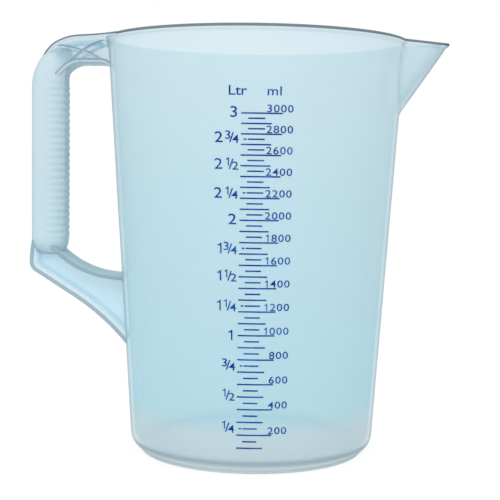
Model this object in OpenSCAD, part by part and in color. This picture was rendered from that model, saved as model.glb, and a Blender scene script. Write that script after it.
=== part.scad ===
// Three litre measuring jug, moulded in translucent polypropylene, with a printed scale.
// The origin is on the table, on the axis of the round vessel. The spout points along +X,
// the handle along -X, and the scale faces -Y.

/* [Vessel] */
// Height of the rim above the table
height = 233; // [200:1:280]
// Outside diameter of the wall at the rim
rim_d = 167.5; // [150:0.5:190]
// Outside diameter that the tapered wall would have at the table
base_d = 137.5; // [125:0.5:145]
// Thickness of the wall
wall = 2.4; // [1.6:0.1:3.2]
// Radius of the outside bottom corner
corner_r = 10; // [7:0.5:14]
// Radius of the inside bottom corner
inside_corner_r = 6; // [3:0.5:9]
// Height of the bottom corner's lowest line above the table
corner_lift = 0.6; // [0.3:0.1:1.2]

/* [Floor and foot] */
// Thickness of the floor
floor_t = 2.8; // [2:0.1:4]
// Depth of the recess under the floor at its edge
recess_h = 2.4; // [1.6:0.1:3.6]
// Rise of the domed floor from its edge to its middle
floor_dome = 6.9; // [2:0.1:10]
// Outside diameter of the foot ring
foot_d = 126.8; // [118:0.2:130]
// Width of the foot ring
foot_w = 2.6; // [1.8:0.1:4]

/* [Rim] */
// How far the rim bead stands out from the wall
lip_out = 1.2; // [0.6:0.1:2]
// Height of the rim bead
lip_h = 3.2; // [2.2:0.1:5]

/* [Spout] */
// Distance from the vessel's axis to the tip, without its bead
spout_reach = 109; // [100:0.5:118]
// Depth of the spout below the rim, where its keel leaves the wall
spout_drop = 40; // [30:0.5:55]
// Width of the spout's mouth at the rim
spout_w = 44; // [36:0.5:52]
// Thickness of the spout's sides
spout_wall = 2.4; // [1.6:0.1:3]
// Radius of the rounded tip
tip_r = 1.6; // [1:0.1:2.4]

/* [Handle] */
// Width of the finger gap level with the rim, from the wall to the grip
finger_gap = 23.45; // [18:0.05:34]
// Width of the handle across its bands
handle_w = 28; // [22:0.5:36]
// Thickness of the bands
band_t = 2.2; // [1.6:0.1:3]
// Thickness of the flat webs between the bands
web_t = 2; // [1.2:0.1:3]
// Radius of the upper outside corner
shoulder_r = 28; // [20:0.5:34]
// Radius of the flare by which the bridge's top band runs out into the rim
flare_r = 66; // [50:1:80]
// Depth of the bridge, from the rim down to the face over the finger gap
bridge_h = 14.2; // [12:0.1:18]
// Height of the lower outside corner's vertex
heel_z = 103.2; // [96:0.2:110]
// Radius of the lower outside corner
heel_r = 6; // [4:0.5:10]
// Height at which the outer band of the strut meets the wall
toe_z = 61.8; // [50:0.2:72]
// Height at which the inner band of the strut meets the wall
strut_top_z = 99; // [90:0.2:104]

/* [Grip] */
// Depth of the grip, from its outer face to its finger side
grip_depth = 19; // [16:0.2:22]
// Radius of the grip's long edges
grip_edge_r = 8; // [5:0.2:9]
// Wall of the hollow grip
grip_wall = 2.6; // [1.8:0.1:4]
// Height at which the lower round end of the grip starts
grip_low_z = 119.5; // [116:0.5:126]
// Depth below the rim at which the upper round end of the grip starts
grip_high_drop = 21; // [18:0.5:28]
// Swing round the shoulder over which the corner keeps the grip's full width, in degrees
shoulder_full_angle = 42; // [30:1:55]
// Number of finger ribs
rib_count = 24; // [12:1:30]
// How far a finger rib stands out
rib_h = 0.5; // [0.3:0.1:1.2]
// Length of a finger rib along the grip
rib_t = 1.9; // [1.2:0.1:2.4]

/* [Bracing ribs of the bridge] */
// Thickness of a bracing rib
brace_t = 1.5; // [1:0.1:2.4]
// Distance from the edges of the bands back to the bracing ribs
brace_inset = 0.5; // [0.3:0.1:3]

/* [Printed scale] */
// Height of the mark at full measure
top_mark_z = 188.6; // [170:0.2:195]
// Number of equal volumes up to full measure, each 50 ml at these sizes
steps = 60; // [20:2:80]
// Number of the lowest printed mark, in equal steps from empty
first_mark_number = 2; // [2:2:6]
// Height of a printed line
line_h = 0.7; // [0.4:0.05:1.2]
// Thickness of the ink
ink_t = 0.15; // [0.1:0.05:0.3]
// Turn of the printed scale from its lowest mark to its highest, in degrees
scale_lean_angle = 1.2; // [0:0.1:3]

/* [Hidden] */
$fn = 96;
over = 5;                       // named overrun of every cut
plastic = [0.72, 0.87, 0.93, 0.6];
edge_plastic = [0.55, 0.70, 0.80, 0.8];
ink = [0.12, 0.22, 0.62];

// Vessel
taper = atan2(rim_d - base_d, 2 * height);
corner_z = corner_lift + corner_r;
floor_z = recess_h + floor_t;
split_z = floor_z + inside_corner_r + corner_r;
foot_r = foot_d / 2;
foot_in_r = foot_r - foot_w;
lip_round_share = 0.8;          // rounding of the bead's top edge, as a share of its reach
lip_round_r = lip_out * lip_round_share;
lip_round_step = 30;            // degrees for one step round the bead's top edge

// Spout: a round cone with its point at the tip, leaning down into the vessel. Its lean and its
// opening follow from the keel's slope and from the mouth's sides, which lie in the rim's plane
mouth_x = sqrt((rim_d / 2) ^ 2 - (spout_w / 2) ^ 2);
keel_foot_r = (base_d + (rim_d - base_d) * (height - spout_drop) / height) / 2;
flank_angle = atan2(spout_w / 2, spout_reach - mouth_x);
keel_angle = atan2(spout_drop, spout_reach - keel_foot_r);
lean_angle = atan2(cos(flank_angle) - cos(keel_angle), sin(keel_angle));
cone_angle = keel_angle - lean_angle;
cone_length = spout_drop / sin(keel_angle) * cos(cone_angle) + 2 * wall;
spout_lip_share = 0.9;          // height of the bead along the mouth, against the rim's bead
spout_lip_h = lip_h * spout_lip_share;

// Handle
handle_reach = rim_d / 2 + finger_gap + grip_depth; // from the axis to the outer face
grip_high_z = height - grip_high_drop;
half_w = handle_w / 2;
bridge_under_z = height - bridge_h;
grip_x = handle_reach - grip_depth / 2;
flat_half = grip_depth / 2 - grip_edge_r;
bridge_fillet_r = bridge_h / 2;
bridge_corner_share = 0.63;     // upper corner of the finger gap, as a share of the grip's depth
bridge_corner_r = grip_depth * bridge_corner_share;
bridge_tail_angle = 44;         // slope of the inner band where it runs into the grip
tail_shares = [0.8, 0.7];       // how far the bands' tails reach into the grip's flank
strut_start_angle = 6;          // slope of the strut's inner band at the wall
strut_tail_angle = 52;          // slope of the same band where it runs into the grip
strut_curve_share = 2.6;        // sweep of the strut's inner band, against the grip's depth
strut_curve_r = grip_depth * strut_curve_share;
strut_bend_share = 4.5;         // sweep of the strut's outer band, against the shoulder's radius
strut_bend_r = shoulder_r * strut_bend_share;
strut_bend_shares = [0.75, 0.62]; // place of the outer bend, from the heel to the toe
toe_angle = 47.5;               // slope of the strut's outer band at the wall
arc_step = 6;                   // degrees for one step along an arc of the handle's outline
band_end_share = 0.8;           // where the bridge's top band ends, down the shoulder
flare_dip_share = 0.5;          // how deep the flare's circle dips into the rim bead
flare_y = half_w + flare_r;     // middle of the flare's circle, which touches the band's edge
flare_x = sqrt((rim_d / 2 + lip_out * (1 - flare_dip_share) + flare_r) ^ 2 - flare_y ^ 2);
flare_end_y = flare_y * (rim_d / 2 + lip_out) / (rim_d / 2 + lip_out + flare_r);
ramp_share = 0.52;              // length over which the corner thins to the web, of shoulder_r
turn_share = 0.002;             // play of the corner's rounding over its outline, of shoulder_r
bay_start_share = 0.62;         // where the braced bay starts, along the shoulder
brace_curve_share = 1.8;        // radius of the bracing ribs, against the depth of the bridge
falling_shares = [[-0.09, 0.88], [0.65, 0.47], [1.17, -0.36]]; // from the bay's low left corner
rising_shares = [[0.07, -0.3], [0.48, 0.5], [1, 1.14]];

// Scale: angles in degrees from the front of the jug, positive towards the spout
long_angles = [-5.9, 8.9];
medium_angles = [-5.9, 5.1];
short_angles = [-3.4, 2.7];
dash_angles = [-4.9, -3.9];

// Outside and inside radius of the tapered wall at a height
function outer_r(z) = (base_d + (rim_d - base_d) * z / height) / 2;
function inner_r(z) = outer_r(z) - wall;

// Centre line radius of the bottom corner's arc
heel_arc_r = outer_r(corner_z) - corner_r / cos(taper);
cove_r = inner_r(floor_z + inside_corner_r) - inside_corner_r / cos(taper);
dome_sphere_r = (cove_r * cove_r + floor_dome * floor_dome) / (2 * floor_dome);

// Volume inside the jug up to a height above the dome and the corner
corner_slice = (1 - PI / 4) * inside_corner_r * inside_corner_r;
corner_centre_share = (10 - 3 * PI) / (12 - 3 * PI); // middle of a corner's slice, from its tip
corner_slice_r = inner_r(floor_z) - corner_centre_share * inside_corner_r;
lost_volume = 2 * PI * corner_slice_r * corner_slice
    + PI * floor_dome / 6 * (3 * cove_r * cove_r + floor_dome * floor_dome);
function cone_volume(z) = PI * (z - floor_z) / 3
    * (inner_r(floor_z) ^ 2 + inner_r(floor_z) * inner_r(z) + inner_r(z) ^ 2);
function volume(z) = cone_volume(z) - lost_volume;
full_measure = volume(top_mark_z);

// Height of the surface when a volume stands in the jug, by halving the interval
function level(v, low, high, turns = 30) =
    turns == 0 ? (low + high) / 2
    : volume((low + high) / 2) < v ? level(v, (low + high) / 2, high, turns - 1)
    : level(v, low, (low + high) / 2, turns - 1);
function mark_z(step) = level(full_measure * step / steps, floor_z, height);

// Outlines made of straight runs with rounded corners
function unit(a) = a / norm(a);
function left_of(a) = [-a[1], a[0]];
function ray(angle) = [cos(angle), sin(angle)];
function cross2(a, b) = a[0] * b[1] - a[1] * b[0];
// Crossing of the line through p along a with the line through q along b
function meet(p, a, q, b) = p + a * cross2(q - p, b) / cross2(a, b);
// Points of the arc that rounds corner c between its neighbours
function corner(a, c, b, r) =
    let (u = unit(c - a), v = unit(b - c),
         turn = atan2(cross2(u, v), u * v),
         side = turn > 0 ? 1 : -1,
         start = c - u * r * tan(abs(turn) / 2),
         middle = start + left_of(u) * r * side,
         count = max(2, ceil(abs(turn) / arc_step)))
    [for (i = [0:count])
        let (swing = turn * i / count - side * 90)
        middle + r * (u * cos(swing) + left_of(u) * sin(swing))];
// A path through the vertices, its inner corners rounded by the radii
function rounded(path, radii) =
    let (last = len(path) - 1)
    concat([path[0]],
           [for (i = [1:last - 1]) each corner(path[i - 1], path[i], path[i + 1], radii[i - 1])],
           [path[last]]);
// The same path moved sideways, to the left of its direction
function shifted(path, d) =
    let (last = len(path) - 1)
    [for (i = [0:last])
        let (before = unit(path[max(i, 1)] - path[max(i, 1) - 1]),
             after = unit(path[min(i, last - 1) + 1] - path[min(i, last - 1)]))
        i == 0 ? path[0] + left_of(after) * d
        : i == last ? path[last] + left_of(before) * d
        : meet(path[i] + left_of(before) * d, before, path[i] + left_of(after) * d, after)];
// The same corners' radii after the sideways move
function shifted_radii(path, radii, d) =
    [for (i = [0:len(radii) - 1])
        radii[i] - d * sign(cross2(path[i + 1] - path[i], path[i + 2] - path[i + 1]))];
function reversed(a) = [for (i = [len(a) - 1:-1:0]) a[i]];
// Outline of a band of even thickness that lies to the left of a path
function strip(path, radii, t) =
    concat(rounded(path, radii),
           reversed(rounded(shifted(path, t), shifted_radii(path, radii, t))));

// Outer face of the handle, from the rim round to the toe, in X and Z
toe_r = outer_r(toe_z);
toe = [-toe_r, toe_z];
bend = [-handle_reach + (handle_reach - toe_r) * strut_bend_shares[0],
        heel_z + (toe_z - heel_z) * strut_bend_shares[1]];
outer_path = [[0, height], [-handle_reach, height], [-handle_reach, heel_z], bend,
              toe + ray(-toe_angle) * shoulder_r];
outer_radii = [shoulder_r, heel_r, strut_bend_r];

// Lower face of the bridge, from inside the wall to inside the grip
bridge_tail = [-grip_x + flat_half * tail_shares[0], grip_high_z - grip_edge_r * tail_shares[1]];
bridge_wall_x = sqrt(outer_r(bridge_under_z - bridge_fillet_r) ^ 2 - half_w ^ 2) - wall / 4;
bridge_corner = meet(bridge_tail, ray(bridge_tail_angle), [0, bridge_under_z], [1, 0]);
bridge_path = [[-bridge_wall_x + 2 * bridge_fillet_r * tan(taper), bridge_under_z - 2 * bridge_fillet_r],
               [-bridge_wall_x, bridge_under_z], bridge_corner, bridge_tail];
bridge_radii = [bridge_fillet_r, bridge_corner_r];

// Upper face of the strut, from inside the wall to inside the grip
strut_tail = [-grip_x + flat_half * tail_shares[0], grip_low_z];
strut_start = [-outer_r(strut_top_z), strut_top_z];
strut_corner = meet(strut_tail, ray(-strut_tail_angle), strut_start, ray(-strut_start_angle));
strut_path = [strut_start + ray(-strut_start_angle) * 2 * wall, strut_corner, strut_tail];
strut_radii = [strut_curve_r];

// Rounded rectangle, drawn about the middle of the grip's section
module grip_section(inset = 0) {
    x = grip_depth / 2 - inset;
    y = half_w - inset;
    r = grip_edge_r - inset;
    square([2 * (x - r), 2 * y], center = true);
    square([2 * x, 2 * (y - r)], center = true);
    for (sx = [-1, 1], sy = [-1, 1])
        translate([sx * (x - r), sy * (y - r)]) circle(r);
}

// Bar with the grip's section, each end rounded by turning half of the section
module grip_bar(inset = 0) {
    translate([-grip_x, 0, 0]) {
        translate([0, 0, grip_low_z]) linear_extrude(grip_high_z - grip_low_z) grip_section(inset);
        translate([0, 0, grip_high_z]) grip_end(inset);
        translate([0, 0, grip_low_z]) rotate([180, 0, 0]) grip_end(inset);
    }
}
module grip_end(inset) {
    rotate([90, 0, 0]) rotate_extrude(angle = 180) intersection() {
        grip_section(inset);
        translate([0, -handle_w]) square(2 * handle_w);
    }
}

// Places its children at the middle of the shoulder's curve
module at_shoulder() {
    translate([-handle_reach + shoulder_r, 0, height - shoulder_r]) children();
}

// Everything on the grip's side of the line at which the corner starts to thin
module shoulder_side() {
    at_shoulder() rotate([0, shoulder_full_angle - 90, 0])
        translate([-handle_reach, -handle_reach, -handle_reach])
            cube([handle_reach, 2 * handle_reach, 2 * handle_reach]);
}

// Corner between the grip and the bridge. It keeps the grip's width and rounded edges for a
// swing round the shoulder, and then thins on each side down to the web
module shoulder_block() {
    r = shoulder_r * (1 + turn_share);
    ramp = shoulder_r * ramp_share;
    intersection() {
        union() {
            intersection() {
                across(handle_w) difference() {
                    intersection() {
                        handle_outline(0);
                        above_bridge(0);
                    }
                    translate([-handle_reach - over, 0])
                        square([over + grip_depth / 2, grip_high_z]);
                }
                shoulder_side();
            }
            intersection() {
                across(handle_w) intersection() {
                    handle_outline(band_t);
                    above_bridge(band_t);
                }
                at_shoulder() rotate([0, shoulder_full_angle - 90, 0]) linear_extrude(2 * shoulder_r)
                    polygon([[-band_t, -half_w], [0, -half_w], [ramp, -web_t / 2],
                             [ramp, web_t / 2], [0, half_w], [-band_t, half_w]]);
            }
        }
        at_shoulder() rotate([90, 0, 0]) rotate([0, 0, 90]) rotate_extrude(angle = 90) {
            translate([0, -half_w]) square([r - grip_edge_r, handle_w]);
            translate([0, grip_edge_r - half_w]) square([r, handle_w - 2 * grip_edge_r]);
            for (side = [-1, 1])
                translate([r - grip_edge_r, side * (half_w - grip_edge_r)]) circle(grip_edge_r);
        }
    }
}

// Everything that the webs and braces are cut back from at the grip
module grip_cut() {
    grip_bar();
    shoulder_block();
}

// Vessel without its inside
module vessel_body() {
    rotate_extrude() {
        tangent_z = corner_z - corner_r * sin(taper);
        polygon([[0, tangent_z], [outer_r(tangent_z), tangent_z],
                 [outer_r(height + over), height + over], [0, height + over]]);
        translate([0, corner_lift]) square([heel_arc_r, tangent_z - corner_lift]);
        translate([heel_arc_r, corner_z]) circle(corner_r);
    }
}

// Inside of the vessel, down to the domed floor
module vessel_inside() {
    arc_z = floor_z + inside_corner_r;
    rotate_extrude() difference() {
        union() {
            polygon([[0, arc_z], [inner_r(arc_z), arc_z],
                     [inner_r(height + over), height + over], [0, height + over]]);
            translate([0, floor_z]) square([cove_r, arc_z - floor_z]);
            intersection() {
                translate([cove_r, arc_z]) circle(inside_corner_r);
                square([rim_d, arc_z]);
            }
        }
        dome_side(dome_sphere_r);
    }
}

// Half disc under the sphere that shapes the dome, down to the level of its edge
module dome_side(r) {
    intersection() {
        translate([0, floor_z + floor_dome - dome_sphere_r]) circle(r, $fn = 4 * $fn);
        square([cove_r, height]);
    }
}

// Recess under the floor, which follows the dome
module floor_recess() {
    rotate_extrude() {
        translate([0, -over]) square([foot_in_r, recess_h + over]);
        intersection() {
            translate([0, floor_z + floor_dome - dome_sphere_r])
                circle(dome_sphere_r - floor_t, $fn = 4 * $fn);
            square([foot_in_r, height]);
        }
    }
}

// Side of the rim bead, full across the vessel, up to a height
module lip_side(top) {
    low = height - lip_h;
    polygon([[0, low], [outer_r(low), low], [outer_r(low) + lip_out, low + lip_out],
             [outer_r(height) + lip_out, height - lip_round_r],
             [outer_r(height) + lip_out, top], [0, top]]);
}

// Rim bead all the way round, with its top edge rounded in small steps
module lip_ring() {
    low = height - lip_h;
    top_r = outer_r(height) + lip_out - lip_round_r;
    rotate_extrude() polygon(concat(
        [[outer_r(low), low], [outer_r(low) + lip_out, low + lip_out]],
        [for (a = [0:lip_round_step:90])
            [top_r + lip_round_r * cos(a), height - lip_round_r + lip_round_r * sin(a)]],
        [[outer_r(height), height]]));
}

// Leaning cone with a rounded point, moved in from the spout's outside by an even distance
module spout_cone(inset) {
    nose_r = max(tip_r - inset, 0);
    point = tip_r + (inset - tip_r) / sin(cone_angle);
    touch = nose_r * cos(cone_angle) ^ 2 / sin(cone_angle);
    translate([spout_reach, 0, height]) rotate([0, -90 - lean_angle, 0])
        translate([0, 0, point + touch])
            cylinder(h = cone_length - point - touch, r1 = touch * tan(cone_angle),
                     r2 = (cone_length - point) * tan(cone_angle));
    if (nose_r > 0)
        translate([spout_reach - tip_r * cos(lean_angle), 0, height - tip_r * sin(lean_angle)])
            sphere(nose_r);
}

// Level slice between two heights, wider than the jug
module between(low, high) {
    translate([-rim_d, -rim_d, low]) cube([3 * rim_d, 2 * rim_d, high - low]);
}

// Flat outline in X and Z, given a width across the handle
module across(w) {
    rotate([90, 0, 0]) linear_extrude(w, center = true) children();
}

// Plain cone inside the wall's outer face, from below the table to above the rim
module wall_cone() {
    translate([0, 0, -over])
        cylinder(h = height + 2 * over, r1 = outer_r(-over), r2 = outer_r(height + over));
}

// Everything that the handle's pieces are cut back from at the vessel
module vessel_cut() {
    wall_cone();
    rotate_extrude() lip_side(height + over);
}

// Outline inside the outer face of the handle, moved in by d, down to the vessel's axis
module handle_outline(d) {
    path = shifted(outer_path, d);
    points = rounded(path, shifted_radii(outer_path, outer_radii, d));
    polygon(concat(points, [[0, points[len(points) - 1][1]]]));
}
module above_bridge(d) {
    points = rounded(shifted(bridge_path, -d), shifted_radii(bridge_path, bridge_radii, -d));
    last = points[len(points) - 1];
    polygon(concat(points, [[-handle_reach - over, last[1]], [-handle_reach - over, height + over],
                            [0, height + over], [0, points[0][1]]]));
}
module below_strut(d) {
    points = rounded(shifted(strut_path, d), shifted_radii(strut_path, strut_radii, d));
    last = points[len(points) - 1];
    polygon(concat(points, [[-handle_reach - over, last[1]], [-handle_reach - over, 0],
                            [0, 0], [0, points[0][1]]]));
}

// Region of the outer band: flared into the rim, and narrowed where it meets the grip
module band_taper() {
    near = half_w - grip_edge_r;
    far_x = -handle_reach - over;
    start_x = -handle_reach + shoulder_r;
    end_x = -handle_reach + grip_edge_r;
    wide = flare_y - sqrt(flare_r ^ 2 - (flare_x + start_x) ^ 2);
    translate([0, 0, grip_low_z + grip_depth / 2]) linear_extrude(height) difference() {
        polygon([[0, flare_end_y], [start_x, flare_end_y], [start_x, wide], [end_x, near],
                 [far_x, near], [far_x, -near], [end_x, -near], [start_x, -wide],
                 [start_x, -flare_end_y], [0, -flare_end_y]]);
        for (side = [-1, 1])
            translate([-flare_x, side * flare_y]) circle(flare_r, $fn = 4 * $fn);
    }
    rotate([90, 0, -90]) linear_extrude(handle_reach + over)
        polygon([[half_w, 0], [half_w, grip_low_z - grip_depth / 2], [near, grip_low_z],
                 [near, grip_low_z + grip_depth / 2 + over], [-near, grip_low_z + grip_depth / 2 + over],
                 [-near, grip_low_z], [-half_w, grip_low_z - grip_depth / 2], [-half_w, 0]]);
}

module outer_band(low, high) {
    difference() {
        intersection() {
            across(2 * flare_y) difference() {
                handle_outline(0);
                handle_outline(band_t);
            }
            band_taper();
            translate([-handle_reach - over, -flare_y, low])
                cube([handle_reach + over, 2 * flare_y, high - low]);
        }
        grip_bar();
        vessel_cut();
    }
}

module web(name) {
    difference() {
        across(web_t) intersection() {
            handle_outline(band_t);
            if (name == "bridge") above_bridge(band_t);
            else below_strut(band_t);
        }
        grip_cut();
        vessel_cut();
    }
}

// One printed line on the wall: a thin shell between two angles
module mark(step, span) {
    z = mark_z(step);
    low_z = mark_z(first_mark_number);
    lean = scale_lean_angle * ((z - low_z) / (top_mark_z - low_z) - 0.5);
    rotate([0, 0, -90 + span[0] + lean])
        rotate_extrude(angle = span[1] - span[0])
            polygon([[outer_r(z - line_h / 2), z - line_h / 2],
                     [outer_r(z - line_h / 2) + ink_t, z - line_h / 2],
                     [outer_r(z + line_h / 2) + ink_t, z + line_h / 2],
                     [outer_r(z + line_h / 2), z + line_h / 2]]);
}

module vessel_wall() {
    color(plastic) difference() {
        intersection() {
            difference() {
                vessel_body();
                vessel_inside();
            }
            between(split_z, height);
        }
        spout_cone(spout_wall);
    }
}

module vessel_floor() {
    color(plastic) difference() {
        intersection() {
            vessel_body();
            between(0, split_z);
        }
        vessel_inside();
        floor_recess();
    }
}

module foot_ring() {
    color(edge_plastic) difference() {
        rotate_extrude() translate([foot_in_r, 0]) square([foot_w, corner_z]);
        vessel_body();
    }
}

module rim_lip() {
    color(edge_plastic) difference() {
        lip_ring();
        spout_cone(0);
    }
}

module pouring_spout() {
    color(plastic) difference() {
        intersection() {
            difference() {
                spout_cone(0);
                spout_cone(spout_wall);
            }
            between(0, height);
        }
        wall_cone();
    }
}

module spout_lip() {
    color(edge_plastic) difference() {
        intersection() {
            difference() {
                spout_cone(-lip_out);
                spout_cone(0);
            }
            between(height - spout_lip_h, height);
        }
        vessel_cut();
    }
}

module bridge_top_band() {
    color(edge_plastic) difference() {
        outer_band(height - shoulder_r * band_end_share, height + over);
        shoulder_side();
    }
}

module strut_outer_band() {
    color(edge_plastic) outer_band(0, grip_low_z - band_t);
}

module bridge_inner_band() {
    color(edge_plastic) difference() {
        across(handle_w) polygon(strip(bridge_path, bridge_radii, -band_t));
        grip_bar();
        shoulder_side();
        vessel_cut();
    }
}

module strut_inner_band() {
    color(edge_plastic) difference() {
        across(handle_w) polygon(strip(strut_path, strut_radii, band_t));
        grip_bar();
        vessel_cut();
    }
}

module bridge_web() {
    color(plastic) web("bridge");
}

module strut_web() {
    color(plastic) web("strut");
}

// Two curved ribs that cross on each side of the bridge's web
module bridge_braces() {
    left_x = -handle_reach + shoulder_r * bay_start_share;
    bay_w = -outer_r(height) - left_x;
    bay_h = bridge_h - band_t;
    brace_r = bridge_h * brace_curve_share;
    color(edge_plastic) difference() {
        across(handle_w - 2 * brace_inset) intersection() {
            for (shares = [falling_shares, rising_shares])
                polygon(strip([for (share = shares)
                                  [left_x + bay_w * share[0], bridge_under_z + bay_h * share[1]]],
                              [brace_r], brace_t));
            handle_outline(band_t);
            above_bridge(band_t);
        }
        across(web_t) square(3 * height, center = true);
        grip_cut();
        vessel_cut();
    }
}

module hand_grip() {
    color(plastic) difference() {
        intersection() {
            grip_bar();
            across(2 * handle_w) handle_outline(0);
        }
        intersection() {
            grip_bar(grip_wall);
            across(2 * handle_w) handle_outline(grip_wall);
        }
    }
}

module grip_shoulder() {
    color(plastic) difference() {
        shoulder_block();
        grip_bar();
    }
}

// Low ribs round the finger side of the grip
module finger_ribs() {
    pitch = (grip_high_z - grip_low_z - grip_edge_r + rib_t) / rib_count;
    color(edge_plastic) for (i = [0:rib_count - 1])
        translate([-grip_x, 0, grip_low_z + rib_t / 2 + i * pitch])
            linear_extrude(rib_t) intersection() {
                difference() {
                    grip_section(-rib_h);
                    grip_section();
                }
                translate([grip_depth / 2 - grip_edge_r, -handle_w]) square(2 * handle_w);
            }
}

module long_marks() {
    color(ink) for (i = [4:4:steps]) mark(i, long_angles);
}

module medium_marks() {
    color(ink) for (i = [first_mark_number:4:steps]) mark(i, medium_angles);
}

module short_marks() {
    color(ink) for (i = [first_mark_number + 1:2:steps]) mark(i, short_angles);
}

module quarter_marks() {
    color(ink) for (i = [5:10:steps]) mark(i, dash_angles);
}

vessel_wall();
vessel_floor();
foot_ring();
rim_lip();
pouring_spout();
spout_lip();
bridge_top_band();
bridge_inner_band();
bridge_web();
bridge_braces();
hand_grip();
grip_shoulder();
finger_ribs();
strut_inner_band();
strut_outer_band();
strut_web();
long_marks();
medium_marks();
short_marks();
quarter_marks();
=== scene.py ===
"""Looks of a three litre measuring jug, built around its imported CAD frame.

All shapes are given in millimetres of the real jug, and turned into metres when they are drawn.
The origin is on the table on the vessel's axis, +X points along the spout, and the printed
scale faces -Y, towards the camera.
"""

import logging
import math
from dataclasses import dataclass, field
from enum import Enum, IntEnum
from typing import Callable, Sequence

import bpy
import numpy as np
from mathutils import Matrix, Vector


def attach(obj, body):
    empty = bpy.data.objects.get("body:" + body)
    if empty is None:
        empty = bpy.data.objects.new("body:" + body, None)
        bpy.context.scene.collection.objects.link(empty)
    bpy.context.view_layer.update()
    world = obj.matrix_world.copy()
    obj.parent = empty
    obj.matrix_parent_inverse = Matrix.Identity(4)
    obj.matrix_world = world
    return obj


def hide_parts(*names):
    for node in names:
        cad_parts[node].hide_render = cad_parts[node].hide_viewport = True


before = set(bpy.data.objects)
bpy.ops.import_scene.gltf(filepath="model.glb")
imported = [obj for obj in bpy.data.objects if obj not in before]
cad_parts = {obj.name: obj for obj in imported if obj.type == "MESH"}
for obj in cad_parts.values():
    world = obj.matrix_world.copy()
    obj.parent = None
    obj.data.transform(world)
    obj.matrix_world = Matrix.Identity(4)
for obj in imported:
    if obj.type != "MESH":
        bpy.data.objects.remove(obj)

MM = 0.001
ROOT = "root"
TINY = 1e-6

log = logging.getLogger("measuring_jug")

Point = tuple[float, float]
Colour = tuple[float, float, float]
Point3 = tuple[float, float, float]
Station = tuple[Vector, Vector, float, float]


class Slot(Enum):
    """The record's material slots."""

    VESSEL = "clear_plastic"
    HANDLE = "handle_plastic"
    INK = "scale_ink"


class Finish(IntEnum):
    """Which of its piece's finishes a face has."""

    SKIN = 0
    EDGE = 1
    WEB = 2
    INSIDE = 3
    LINE = 4
    BAY = 5


# Drawing tools


def clear_selection() -> None:
    """Leave edit mode and deselect every object."""
    if bpy.context.object and bpy.context.object.mode != "OBJECT":
        bpy.ops.object.mode_set(mode="OBJECT")
    bpy.ops.object.select_all(action="DESELECT")


def pick(obj: bpy.types.Object) -> None:
    """Make one object the only selected and the active one.

    Args:
        obj: The object to pick.
    """
    clear_selection()
    obj.select_set(True)
    bpy.context.view_layer.objects.active = obj


def begin_line(name: str, places: Sequence[Vector]) -> bpy.types.Object:
    """Merge a plane to one vertex, extrude it from place to place, and stay in edit mode.

    Args:
        name: The new object's name.
        places: The line's vertices in metres.

    Returns:
        The new object, with the whole line selected.
    """
    clear_selection()
    bpy.ops.mesh.primitive_plane_add(size=MM, location=(0, 0, 0))
    obj = bpy.context.object
    obj.name = name
    obj.data.name = name
    bpy.ops.object.mode_set(mode="EDIT")
    bpy.ops.mesh.select_mode(type="VERT")
    bpy.ops.mesh.select_all(action="SELECT")
    bpy.ops.mesh.merge(type="CENTER")
    bpy.ops.transform.translate(value=places[0])
    for here, there in zip(places, places[1:]):
        bpy.ops.mesh.extrude_vertices_move(TRANSFORM_OT_translate={"value": there - here})
    bpy.ops.mesh.select_all(action="SELECT")
    return obj


def leave_edit(obj: bpy.types.Object) -> None:
    """Merge doubles, turn the faces outwards, and leave edit mode.

    Args:
        obj: The object that is being edited.
    """
    bpy.ops.mesh.select_all(action="SELECT")
    bpy.ops.mesh.remove_doubles(threshold=TINY)
    bpy.ops.mesh.normals_make_consistent(inside=False)
    bpy.ops.object.mode_set(mode="OBJECT")
    obj.select_set(False)


def apply(obj: bpy.types.Object, kind: str, **values: object) -> None:
    """Add a modifier with its values and apply it.

    Args:
        obj: The object to finish.
        kind: The modifier's type, such as BEVEL.
        values: The modifier's settings.
    """
    pick(obj)
    modifier = obj.modifiers.new(kind.title(), kind)
    for key, value in values.items():
        setattr(modifier, key, value)
    bpy.ops.object.modifier_apply(modifier=modifier.name)


def combine(obj: bpy.types.Object, other: bpy.types.Object, how: str) -> None:
    """Join or cut an object with another one, which is used up.

    Args:
        obj: The object that stays.
        other: The object that is joined to it or cut from it.
        how: UNION or DIFFERENCE.
    """
    apply(obj, "BOOLEAN", operation=how, solver="EXACT", object=other)
    bpy.data.objects.remove(other)


def shade(obj: bpy.types.Object, degrees: float) -> None:
    """Shade smooth, with edges sharper than an angle kept hard.

    Args:
        obj: The object to shade.
        degrees: The angle from which an edge is hard.
    """
    pick(obj)
    bpy.ops.object.shade_smooth_by_angle(angle=math.radians(degrees))
    obj.select_set(False)


def paint(
    obj: bpy.types.Object, finish: Finish, chosen: Callable[[Vector, Vector], bool]
) -> None:
    """Give some faces another of the piece's finishes.

    Args:
        obj: The piece.
        finish: The finish of the chosen faces.
        chosen: Tells from a face's middle and its normal whether it is one of them.
    """
    for polygon in obj.data.polygons:
        if chosen(polygon.center, polygon.normal):
            polygon.material_index = int(finish)


def fade(value: float, start: float, end: float) -> float:
    """Smooth step from 0 at start to 1 at end."""
    s = min(max((value - start) / (end - start), 0), 1)
    return s * s * (3 - 2 * s)


# Outlines in the plane of the handle


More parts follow.
